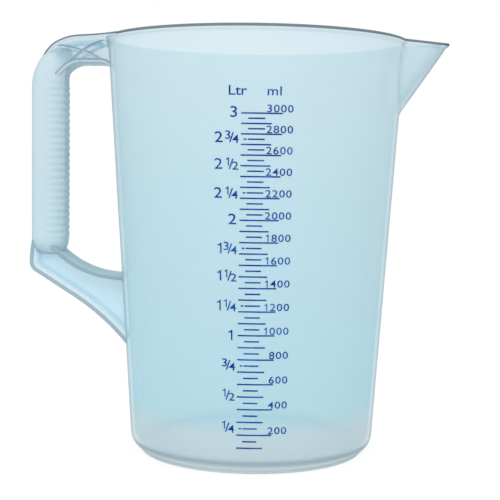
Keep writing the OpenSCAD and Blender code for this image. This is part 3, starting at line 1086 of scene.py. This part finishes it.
    def strut_path(self) -> list[Vector]:
        """Upper face of the strut, from inside the wall to inside the grip.

        Returns:
            Points in the handle's plane.
        """
        start = Vector((-self.vessel.wall_r(self.strut_top_z), self.strut_top_z))
        tail = Vector((self.bridge_tail[0], self.grip_low_z))
        low, high = (
            Vector((math.cos(slope), -math.sin(slope)))
            for slope in map(math.radians, self.strut_slopes)
        )
        gap = start - tail
        along = (gap.x * low.y - gap.y * low.x) / (high.x * low.y - high.y * low.x)
        path = [start + low * self.strut_sink, tail + high * along, tail]
        return rounded(path, [self.strut_r])

    def bar_stations(self) -> list[Station]:
        """Cross sections of the bar, from its lower end up and round the shoulder.

        Returns:
            For each station its inner and outer point, half width and edge radius.
        """
        inner_x, outer_x = -self.reach + self.grip_depth, -self.reach
        stations = []
        for i in range(self.end_steps, 0, -1):
            swing = math.pi / 2 * i / self.end_steps
            z = self.grip_low_z - self.grip_low_h * math.sin(swing)
            half = self.end_half_w + (self.half_w - self.end_half_w) * math.cos(swing)
            draw = self.end_draw * (1 - math.cos(swing))
            edge = min(self.grip_edge_r, half * self.nearly)
            outer = Vector((outer_x + self.end_sink + draw, z))
            stations.append((Vector((inner_x - draw, z)), outer, half, edge))
        bend_z = self.vessel.height - self.shoulder_r
        count = round((bend_z - self.grip_low_z) / (self.rib_pitch / self.rib_steps))
        for i in range(count):
            z = self.grip_low_z + (bend_z - self.grip_low_z) * i / count
            inner, outer = Vector((inner_x, z)), Vector((outer_x, z))
            stations.append((inner, outer, self.half_w, self.grip_edge_r))
        centre = Vector((-self.reach + self.shoulder_r, bend_z))
        under = self.vessel.height - self.bridge_h
        for i in range(self.ramp_steps + 1):
            angle = self.ramp_to * i / self.ramp_steps
            way = Vector((-math.cos(math.radians(angle)), math.sin(math.radians(angle))))
            ease = fade(angle, self.ramp_from, self.ramp_to)
            half = self.half_w + (self.ramp_half_w - self.half_w) * ease
            near = self.gap_reach(way, centre, inner_x, under) + self.ramp_sink[0] * ease
            far = self.shoulder_r - self.ramp_sink[1] * ease
            edge = self.grip_edge_r + (self.ramp_edge_r - self.grip_edge_r) * ease
            edge = min(edge, half * self.nearly)
            stations.append((centre + way * near, centre + way * far, half, edge))
        return stations

    def gap_reach(self, way: Vector, centre: Vector, inner_x: float, under: float) -> float:
        """Distance from the shoulder's middle to the finger gap's outline.

        Args:
            way: The direction, of unit length.
            centre: The shoulder's middle.
            inner_x: Where the grip's finger side is.
            under: The height of the bridge's lower face.

        Returns:
            The distance along the direction.
        """
        r = self.gap_corner_r
        middle = Vector((inner_x + r, under - r)) - centre
        if way.x < 0 and (inner_x - centre.x) / way.x * way.y <= middle.y:
            return (inner_x - centre.x) / way.x
        along = middle.dot(way)
        return along + math.sqrt(max(along**2 - middle.length_squared + r**2, 0))

    def section(self, station: Station) -> list[Vector]:
        """Rounded rectangle of one station, with the finger side swelling at a rib.

        Args:
            station: Inner and outer point, half width and edge radius.

        Returns:
            The section's points in metres, always the same number.
        """
        inner, outer, half, edge = station
        middle = (inner + outer) / 2
        across = (outer - inner).normalized()
        deep = (outer - inner).length / 2
        edge = min(edge, deep * self.nearly)
        phase = (middle.y - self.rib_low_z) / self.rib_pitch
        swell = 0.0
        if self.rib_low_z < middle.y < self.rib_high_z:
            swell = self.rib_h * (0.5 - 0.5 * math.cos(2 * math.pi * phase))
        points = []
        for sx, sy, start in ((1, 1, 0), (-1, 1, 90), (-1, -1, 180), (1, -1, 270)):
            cx, cy = sx * (deep - edge), sy * (half - edge)
            for j in range(self.corner_steps + 1):
                a = math.radians(start + 90 * j / self.corner_steps)
                u, y = cx + edge * math.cos(a), cy + edge * math.sin(a)
                mask = min(max((-u - 0.5) / 3.0, 0), 1)
                push = swell * mask * mask * (3 - 2 * mask)
                u, y = u + push * math.cos(a), y + push * math.sin(a)
                points.append(in_space(middle + across * u, y))
        return points

    def build_bar(self) -> bpy.types.Object:
        """Loft the bar through its stations.

        The section swells, bends and thins along the way, which no edit tool makes in one
        skin, so its rings are laid here and closed at both ends.

        Returns:
            The bar's closed mesh.
        """
        rings = [self.section(s) for s in self.bar_stations()]
        count = len(rings[0])
        faces = []
        for i in range(len(rings) - 1):
            for j in range(count):
                a, b = i * count + j, i * count + (j + 1) % count
                faces.append((a, b, b + count, a + count))
        faces.append(tuple(range(count)))
        faces.append(tuple(reversed(range((len(rings) - 1) * count, len(rings) * count))))
        mesh = bpy.data.meshes.new("handle_bar")
        mesh.from_pydata([p for ring in rings for p in ring], [], faces)
        obj = bpy.data.objects.new("handle_bar", mesh)
        bpy.context.scene.collection.objects.link(obj)
        pick(obj)
        bpy.ops.object.mode_set(mode="EDIT")
        leave_edit(obj)
        return obj

    def bands(self) -> list[bpy.types.Object]:
        """Make the four bands along the faces of the bridge and the strut.

        The two bands of the bridge are laid in two layers, as their outer one is darker.

        Returns:
            The layers, each a closed solid.
        """
        outer = self.outer_path()
        bend_z = self.vessel.height - self.shoulder_r

        def swing(p: Vector) -> float:
            """Angle of a point round the shoulder, 0 at the side and 90 on top."""
            return math.degrees(math.atan2(p.y - bend_z, -(p.x + self.reach - self.shoulder_r)))

        top = [p for p in outer if p.y > bend_z and swing(p) > self.dip_swing[1]]
        top = even(top, self.outer_step)
        middle = Vector((self.shoulder_r - self.reach, bend_z))
        dip = [
            p + (middle - p).normalized() * self.dip * fade(swing(p), *self.dip_swing)
            for p in top
        ]
        flare_x, flare_y = self.flare()
        narrow = self.half_w - self.grip_edge_r

        def top_width(s: float) -> float:
            """Half width of the top band: flared into the rim, narrow at the grip."""
            p = dip[round(s * (len(dip) - 1))]
            wide = flare_y - math.sqrt(self.flare_r**2 - (flare_x + p.x) ** 2)
            return wide + (narrow - wide) * fade(swing(p), *self.narrow_swing)

        def tail_width(s: float) -> float:
            """Half width of a band that sinks into the bar at its end."""
            thinner = self.tail_narrow * fade(s, self.tail_from, 1.0)
            return self.half_w - self.band_gap - thinner

        low = [p for p in outer if p.y < self.grip_low_z + 1.0]
        heel = [Vector((-self.reach, self.grip_low_z + self.heel_top))] + low
        heel = even(heel, self.outer_step)
        sunk = [p + Vector((self.heel_sink * fade(p.y, *self.heel_sink_z), 0)) for p in heel]

        def heel_width(s: float) -> float:
            """Half width of the lower band, which narrows to the bar's flat outer face."""
            wide, p = self.half_w - self.band_gap, sunk[round(s * (len(sunk) - 1))]
            return wide + (narrow - wide) * fade(p.y, *self.heel_narrow_z)

        line, lap = self.line_t, self.band_lap
        rest = self.band_t - line + lap
        bridge = even(self.bridge_path(), self.inner_step)
        strut = even(self.strut_path(), self.inner_step)
        below, above = offset(dip, line - lap), offset(bridge, lap - line)
        skin, edge, inside, dark = Finish.SKIN, Finish.EDGE, Finish.INSIDE, Finish.LINE
        return [
            # painted reflection: the top band's sides get the rim's dark line
            ribbon("top_band", dip, top_width, line, 1, self.edge, dark),
            ribbon("top_band_below", below, top_width, rest, 1, 0.3, skin, inside),
            ribbon("bridge_band", bridge, tail_width, line, -1, self.edge, skin),
            ribbon("bridge_band_above", above, tail_width, rest, -1, 0.2, edge, inside),
            ribbon("strut_band", strut, tail_width, self.band_t, 1, self.edge),
            ribbon("heel_band", sunk, heel_width, self.band_t, 1, self.edge, edge, inside),
        ]

    def webs(self) -> list[bpy.types.Object]:
        """Make the flat webs of the bridge and of the strut.

        Returns:
            The webs, each a closed solid that ends inside the bands.
        """
        half = self.band_t / 2
        outer = offset(self.outer_path(), half)
        bridge = offset(even(self.bridge_path(), self.inner_step), -half)
        strut = offset(even(self.strut_path(), self.inner_step), half)
        far_x, near_x = self.web_x
        upper_z, under_z, lower_z = self.web_z
        upper = [p for p in outer if p.y > upper_z and p.x > far_x]
        under = [p for p in bridge if p.y > under_z and p.x < near_x]
        lower = [p for p in outer if p.y < lower_z]
        return [
            slab("bridge_web", upper + list(reversed(under)), self.web_t, Finish.BAY),
            slab("strut_web", lower + strut, self.web_t, Finish.WEB),
        ]

    def braces(self) -> list[bpy.types.Object]:
        """Make the two curved ribs that cross over the web of the bridge.

        Returns:
            The ribs, each a closed solid through the web.
        """
        made = []
        for name, path in (("falling_brace", self.falling), ("rising_brace", self.rising)):
            lower = offset(self.spline(path, self.brace_steps), -self.brace_t / 2)
            made.append(ribbon(
                name, lower, lambda s: self.brace_half_w, self.brace_t, 1, self.brace_edge,
                Finish.EDGE, Finish.INSIDE, Finish.INSIDE,
            ))
        return made

    def spline(self, path: Sequence[Point], count: int) -> list[Vector]:
        """Draw a smooth curve of the third order past a few points.

        Args:
            path: The points.
            count: The number of steps from end to end.

        Returns:
            Points on the curve.
        """
        t = np.linspace(0, 1, len(path))
        fx = np.polyfit(t, [p[0] for p in path], 3)
        fz = np.polyfit(t, [p[1] for p in path], 3)
        return [
            Vector((float(np.polyval(fx, s)), float(np.polyval(fz, s))))
            for s in np.linspace(0, 1, count + 1)
        ]

    def vessel_form(self) -> bpy.types.Object:
        """Make the vessel's outside with its bead, a little inside the real faces.

        Returns:
            A closed solid to cut the handle with.
        """
        wall, top, out = self.vessel.wall_r, self.vessel.height, self.vessel.lip_out
        low, over, under = -5.0, 5.0, self.vessel.height - self.vessel.lip_h
        side = [(0.0, low), (wall(low), low), (wall(under), under)]
        side += [(wall(under) + out, under + out), (wall(top) + out, top)]
        side += [(wall(top) + out, top + over), (0.0, top + over)]
        places = [Vector((max(r - self.sink, 0), 0, z)) * MM for r, z in side]
        obj = begin_line("vessel_form", places)
        bpy.ops.mesh.spin(steps=360, angle=2 * math.pi, center=(0, 0, 0), axis=(0, 0, 1))
        leave_edit(obj)
        return obj

    def build(self) -> bpy.types.Object:
        """Join bar, bands, webs and ribs, and cut them back to the vessel's wall.

        Returns:
            The handle's closed mesh.
        """
        obj = self.build_bar()
        for finish in Finish:
            obj.data.materials.append(bpy.data.materials.new(finish.name))
        for other in self.webs() + self.bands() + self.braces():
            for material in obj.data.materials:
                other.data.materials.append(material)
            combine(obj, other, "UNION")
        combine(obj, self.vessel_form(), "DIFFERENCE")
        self.mark_thick(obj)
        obj.name = "jug_handle"
        obj.data.name = "jug_handle"
        shade(obj, 35)
        return obj

    def mark_thick(self, obj: bpy.types.Object) -> None:
        """Paint shade on the bar's lower end, which faces down, and in the grooves between its
        ribs.

        Args:
            obj: The handle's mesh.
        """
        low = self.grip_low_z - self.grip_low_h - 0.5
        thick = obj.data.attributes.new("thick", "FLOAT", "POINT")
        for vertex, cell in zip(obj.data.vertices, thick.data):
            x, z = vertex.co.x / MM, vertex.co.z / MM
            if x >= self.bar_x or z <= low:
                continue
            # painted shade, kept in a float attribute on the points
            cell.value = self.end_dark * fade(z, *self.end_dark_z)
            if self.rib_low_z < z < self.rib_high_z:
                phase = math.cos(math.pi * (z - self.rib_low_z) / self.rib_pitch)
                groove = self.groove_dark * phase**8 * fade(x, *self.groove_x)
                cell.value = max(cell.value, groove)


# The printed scale


@dataclass
class Print:
    """Numbers and headings printed beside the graduation marks, wrapped round the wall."""

    vessel: Vessel
    lift: float = 0.02
    ink_t: float = 0.13
    bold: float = 0.015
    stretch: float = 1.2
    full_ml: int = 3000
    full_z: float = 188.6
    heading_z: float = 197.6
    heading_size: float = 7.0
    heading_texts: tuple[tuple[str, float, float, float], ...] = (
        ("Ltr", 1.0, -9.6, 0.95), ("ml", 0.94, 9.15, 1.05),
    )
    ml_size: float = 5.35
    ml_pitch: float = 3.56
    ml_rise: float = 0.6
    ml_edges: tuple[float, float] = (16.75, 17.45)
    whole_size: float = 7.8
    litre_edges: tuple[float, float] = (-9.5, -8.9)
    litre_drops: tuple[float, ...] = (
        2.0, 1.8, 2.2, 2.5, 2.6, 2.2, 2.75, 2.1, 2.75, 1.7, 1.6, 2.0
    )
    whole_gaps: tuple[float, float, float] = (2.3, 8.6, 9.9)
    fraction_places: tuple[tuple[float, float, float], ...] = (
        (6.0, 5.2, 1.7), (7.2, 3.3, 0.1), (5.9, 1.2, -0.3),
    )
    figure_one: tuple[Point, ...] = (
        (0.03, 0), (0.105, 0), (0.105, 0.70), (0.05, 0.70), (0.025, 0.645), (-0.03, 0.60),
        (-0.12, 0.57), (-0.12, 0.505), (0.03, 0.515),
    )

    def volume(self, z: float) -> float:
        """Volume inside the jug up to a height, in cubic millimetres.

        Args:
            z: The height, above the floor's dome.

        Returns:
            The volume.
        """
        jug = self.vessel
        floor_z, r = jug.recess_h + jug.floor_t, jug.inside_corner_r
        low, high = jug.wall_r(floor_z) - jug.wall, jug.wall_r(z) - jug.wall
        cove_r = jug.wall_r(floor_z + r) - jug.wall - r / math.cos(jug.taper)
        corner_r = low - (10 - 3 * math.pi) / (12 - 3 * math.pi) * r
        corner = 2 * math.pi * corner_r * (1 - math.pi / 4) * r**2
        dome = math.pi * jug.floor_dome / 6 * (3 * cove_r**2 + jug.floor_dome**2)
        return math.pi * (z - floor_z) / 3 * (low**2 + low * high + high**2) - corner - dome

    def mark_z(self, ml: float) -> float:
        """Height of the surface when a volume stands in the jug, by halving the interval."""
        wanted = self.volume(self.full_z) * ml / self.full_ml
        low, high = 0.0, self.vessel.height
        for _ in range(30):
            middle = (low + high) / 2
            low, high = (middle, high) if self.volume(middle) < wanted else (low, middle)
        return low

    def wrap(self, obj: bpy.types.Object, x: float, z: float) -> None:
        """Bend flat writing round the wall.

        Args:
            obj: Writing drawn in the XY plane about the origin, in metres.
            x: Where its origin goes, along the wall from the front, towards the spout.
            z: The height of its base line.
        """
        mesh = obj.data
        for vertex in mesh.vertices:
            tx, ty, depth = (c / MM for c in vertex.co)
            height = z + ty
            radius = self.vessel.wall_r(height)
            angle = (x + tx) / self.vessel.wall_r(z)
            out = radius + self.lift + depth
            vertex.co = Vector((out * math.sin(angle), -out * math.cos(angle), height)) * MM
        mesh.update()

    def flag_one(self, size: float) -> bpy.types.Object:
        """Draw the figure 1 with a flag, which the built-in lettering lacks.

        Args:
            size: The font size.

        Returns:
            A flat face about its middle line, in edit mode.
        """
        places = [Vector((x * size, y * size, 0)) * MM for x, y in self.figure_one]
        obj = begin_line("figure_one", places)
        bpy.ops.mesh.edge_face_add()
        depth = (0, 0, self.ink_t * MM)
        bpy.ops.mesh.extrude_region_move(TRANSFORM_OT_translate={"value": depth})
        return obj

    def write(
        self, text: str, size: float, x: float, z: float, spacing: float = 1.0
    ) -> bpy.types.Object:
        """Write on the wall, with the ink's thickness.

        Args:
            text: What is written.
            size: The font size.
            x: Middle of the writing, along the wall from the front.
            z: Height of the base line.
            spacing: Spacing of the letters.

        Returns:
            The writing as a mesh.
        """
        if text == "1":
            obj = self.flag_one(size)
        else:
            clear_selection()
            bpy.ops.object.text_add(location=(0, 0, 0))
            letters = bpy.context.object.data
            letters.body = text
            letters.size = size * MM
            letters.space_character = spacing
            letters.align_x = "CENTER"
            letters.resolution_u = 4
            letters.offset = self.bold * MM
            letters.extrude = self.ink_t / 2 * MM
            bpy.ops.object.convert(target="MESH")
            obj = bpy.context.object
            bpy.ops.object.mode_set(mode="EDIT")
            bpy.ops.mesh.select_all(action="SELECT")
            bpy.ops.transform.translate(value=(0, 0, self.ink_t / 2 * MM))
        bpy.ops.mesh.select_all(action="SELECT")
        bpy.ops.transform.resize(value=(self.stretch, 1, 1), center_override=(0, 0, 0))
        leave_edit(obj)
        self.wrap(obj, x, z)
        return obj

    def gather(self, name: str, pieces: Sequence[bpy.types.Object]) -> bpy.types.Object:
        """Join several pieces of writing into one object.

        Args:
            name: The object's name.
            pieces: The writing.

        Returns:
            The joined object.
        """
        clear_selection()
        for piece in pieces:
            piece.select_set(True)
        bpy.context.view_layer.objects.active = pieces[0]
        bpy.ops.object.join()
        obj = bpy.context.object
        obj.name = name
        obj.data.name = name
        return obj

    def edge_x(self, edges: tuple[float, float], z: float) -> float:
        """Where a column of labels ends at a height, as the scale leans a little."""
        return edges[0] + (edges[1] - edges[0]) * z / self.full_z

    def fraction(self, quarters: int, x: float, z: float) -> list[bpy.types.Object]:
        """Write a fraction with a raised top number and a lowered bottom number.

        Args:
            quarters: One, two or three.
            x: Its right end along the wall.
            z: The height of the whole numbers' base line beside it.

        Returns:
            The writing.
        """
        figures = {1: "1/4", 2: "1/2", 3: "3/4"}[quarters]
        return [
            self.write(figure, size, x - back, z + up)
            for figure, (size, back, up) in zip(figures, self.fraction_places)
        ]

    def litres(self) -> bpy.types.Object:
        """Write the litre numbers, a quarter of a litre apart.

        Returns:
            The writing as one object.
        """
        made = []
        for quarter in range(1, 13):
            whole, part = divmod(quarter, 4)
            z = self.mark_z(quarter * self.full_ml / 12) - self.litre_drops[quarter - 1]
            x = self.edge_x(self.litre_edges, z)
            if part:
                made += self.fraction(part, x, z)
            if whole:
                gap = self.whole_gaps[0 if not part else 1 if whole == 1 else 2]
                made.append(self.write(str(whole), self.whole_size, x - gap, z))
        return self.gather("litre_numbers", made)

    def millilitres(self) -> bpy.types.Object:
        """Write the millilitre numbers, 200 ml apart.

        Returns:
            The writing as one object.
        """
        made = []
        for ml in range(200, self.full_ml + 1, 200):
            z = self.mark_z(ml)
            x = self.edge_x(self.ml_edges, z)
            for place, figure in enumerate(reversed(str(ml))):
                spot = x - place * self.ml_pitch
                made.append(self.write(figure, self.ml_size, spot, z + self.ml_rise))
        return self.gather("millilitre_numbers", made)

    def headings(self) -> bpy.types.Object:
        """Write the two column headings.

        Returns:
            The writing as one object.
        """
        made = [
            self.write(text, self.heading_size * share, x, self.heading_z, gap)
            for text, share, x, gap in self.heading_texts
        ]
        return self.gather("scale_headings", made)

    def build(self) -> list[bpy.types.Object]:
        """Write all numbers and headings.

        Returns:
            The three pieces of writing.
        """
        return [self.litres(), self.millilitres(), self.headings()]


# The setting


@dataclass(frozen=True)
class Viewpoint:
    """The camera, at the photograph's place and angle."""

    place: tuple[float, float, float] = (-2.12, -667.5, 161.9)
    pitch: float = 4.104
    roll: float = 0.815
    focal_px: float = 1164.4
    frame_px: float = 500.0

    def build(self) -> bpy.types.Object:
        """Add the camera and make it the scene's own.

        Returns:
            The camera.
        """
        data = bpy.data.cameras.new("viewpoint")
        data.sensor_fit = "AUTO"
        data.angle = 2 * math.atan(self.frame_px / 2 / self.focal_px)
        data.clip_start, data.clip_end = 0.01, 20
        camera = bpy.data.objects.new("viewpoint", data)
        bpy.context.scene.collection.objects.link(camera)
        pitch, roll = math.radians(self.pitch), math.radians(self.roll)
        ahead = Vector((0, math.cos(pitch), -math.sin(pitch)))
        right = Vector((1, 0, 0))
        up = Vector((0, math.sin(pitch), math.cos(pitch)))
        right, up = (
            right * math.cos(roll) + up * math.sin(roll),
            up * math.cos(roll) - right * math.sin(roll),
        )
        turn = Matrix((right, up, -ahead)).transposed()
        camera.matrix_world = Matrix.Translation(Vector(self.place) * MM) @ turn.to_4x4()
        bpy.context.scene.camera = camera
        return camera


@dataclass(frozen=True)
class Studio:
    """White floor, white surroundings and soft light."""

    world_level: float = 0.92
    shadow_share: float = 0.2
    floor_white: float = 1.07
    floor_tone: float = 0.9
    floor_size: float = 6.0
    floor_z: float = -0.0002
    lamp_place: Point3 = (-0.2, -1.1, 1.1)
    lamp_size: float = 0.8
    lamp_power: float = 4.5
    aim_z: float = 0.12

    def seen_by(self, tree: bpy.types.NodeTree, *rays: str) -> bpy.types.NodeSocket:
        """Tell whether a ray is of one of the given kinds.

        Args:
            tree: The node tree to build in.
            rays: The kinds of ray, such as Camera.

        Returns:
            A socket that is 1 for such a ray and 0 for others.
        """
        path = add_node(tree, "LightPath")
        seen = path.outputs[f"Is {rays[0]} Ray"]
        for ray in rays[1:]:
            values = {0: seen, 1: path.outputs[f"Is {ray} Ray"]}
            seen = add_node(tree, "Math", values, operation="MAXIMUM").outputs[0]
        return seen

    def build_world(self) -> None:
        """Give the world its level light, and its white look in gloss and behind the jug."""
        world = bpy.data.worlds.new("studio")
        bpy.context.scene.world = world
        world.use_nodes = True
        tree = world.node_tree
        tree.nodes.clear()
        white = {"Color": (1, 1, 1, 1), "Strength": 1.0}
        seen = self.seen_by(tree, "Camera", "Glossy", "Transmission")
        level = add_node(tree, "Background", {**white, "Strength": self.world_level})
        look = add_node(tree, "Background", white)
        values = {"Fac": seen, 1: level.outputs[0], 2: look.outputs[0]}
        mix = add_node(tree, "MixShader", values)
        add_node(tree, "OutputWorld", {"Surface": mix.outputs[0]})

    def build_floor(self) -> None:
        """Add the floor, white with a faint shadow."""
        clear_selection()
        place = (0, 0, self.floor_z)
        bpy.ops.mesh.primitive_plane_add(size=self.floor_size, location=place)
        floor = bpy.context.object
        floor.name = "floor"
        material = start_material("floor_white")
        tree = material.node_tree
        tone = (self.floor_tone, self.floor_tone, self.floor_tone, 1)
        matte = add_node(tree, "BsdfDiffuse", {"Color": tone}).outputs[0]
        white = add_node(tree, "Emission", {"Strength": self.floor_white}).outputs[0]
        values = {"Fac": self.shadow_share, 1: white, 2: matte}
        look = add_node(tree, "MixShader", values).outputs[0]
        values = {"Fac": self.seen_by(tree, "Camera", "Glossy"), 1: matte, 2: look}
        mix = add_node(tree, "MixShader", values)
        add_node(tree, "OutputMaterial", {"Surface": mix.outputs[0]})
        floor.data.materials.append(material)

    def build_lamp(self) -> None:
        """Add one soft lamp in front, which looks at the jug's middle."""
        data = bpy.data.lights.new("key_lamp", "AREA")
        data.size = self.lamp_size
        data.energy = self.lamp_power
        lamp = bpy.data.objects.new("key_lamp", data)
        bpy.context.scene.collection.objects.link(lamp)
        place = Vector(self.lamp_place)
        turn = (Vector((0, 0, self.aim_z)) - place).normalized().to_track_quat("-Z", "Y")
        lamp.matrix_world = Matrix.Translation(place) @ turn.to_matrix().to_4x4()

    def build(self) -> None:
        """Set the world, the floor and the lamp."""
        self.build_world()
        self.build_floor()
        self.build_lamp()


def dress(
    obj: bpy.types.Object,
    materials: Sequence[bpy.types.Material],
    nodes: Sequence[str] = (),
) -> None:
    """Give a new piece its finishes, attach it to the root, and hide the CAD nodes that it
    replaces.

    Args:
        obj: The piece.
        materials: Its finishes, in the order of Finish for the faces.
        nodes: The CAD nodes that it replaces.
    """
    kinds = [polygon.material_index for polygon in obj.data.polygons]
    obj.data.materials.clear()
    for material in materials:
        obj.data.materials.append(material)
    obj.data.polygons.foreach_set("material_index", kinds)
    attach(obj, ROOT)
    if nodes:
        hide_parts(*nodes)
    log.info("%s: %d vertices", obj.name, len(obj.data.vertices))


def redress(node: str, material: bpy.types.Material) -> None:
    """Give a CAD node a better finish.

    Args:
        node: The node's name.
        material: Its finish.
    """
    for material_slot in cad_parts[node].material_slots:
        material_slot.material = material
    log.info("%s keeps its CAD mesh", node)


def main() -> None:
    """Build the jug and its setting."""
    logging.basicConfig(level=logging.INFO, format="%(message)s")
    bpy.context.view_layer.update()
    scene = bpy.context.scene
    scene.view_settings.view_transform = "Standard"
    scene.cycles.transparent_max_bounces = 24
    Viewpoint().build()
    Studio().build()
    grain = Grain().build()
    skin, rim, floor, grip, band_edge, web, inside, bay = (p.build(grain) for p in PLASTICS)
    ink = Ink().build()
    vessel = Vessel()
    dress(vessel.build(), [skin, rim, band_edge, floor], vessel.nodes)
    handle = Handle(vessel)
    finishes = [grip, band_edge, web, inside, rim, bay]
    dress(handle.build(), finishes, handle.nodes)
    for writing in Print(vessel).build():
        dress(writing, [ink])
    for node in ("long_marks", "medium_marks", "short_marks", "quarter_marks"):
        redress(node, ink)


if __name__ == "__main__":
    main()
